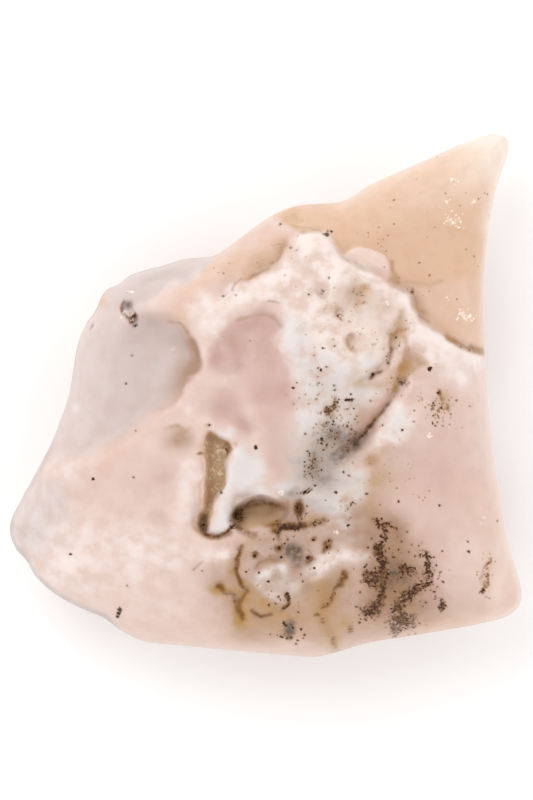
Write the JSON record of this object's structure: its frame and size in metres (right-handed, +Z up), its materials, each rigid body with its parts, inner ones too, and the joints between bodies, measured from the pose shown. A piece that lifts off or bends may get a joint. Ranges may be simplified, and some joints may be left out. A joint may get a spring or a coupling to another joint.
{
  "type": "pink opal pebble",
  "caption": "Tumbled pink opal pebble with a thin horn, a broken crest, a shell-shaped scoop and two small natural cavities, lying on its flat worn base.",
  "frame": {"origin": "on the surface the stone lies on, under the middle of its footprint", "axes": "+Z up away from the worn base, +Y towards the horn side, +X towards the long straight side"},
  "size_m": [0.0358, 0.0368, 0.0134],
  "materials": {
    "polished_opal": "waxy tumbled polish on pale pink common opal, with white and mauve clouds, tan veins and black dendrite specks"
  },
  "bodies": {
    "root": {"pink_opal": "polished_opal"}
  },
  "joints": []
}
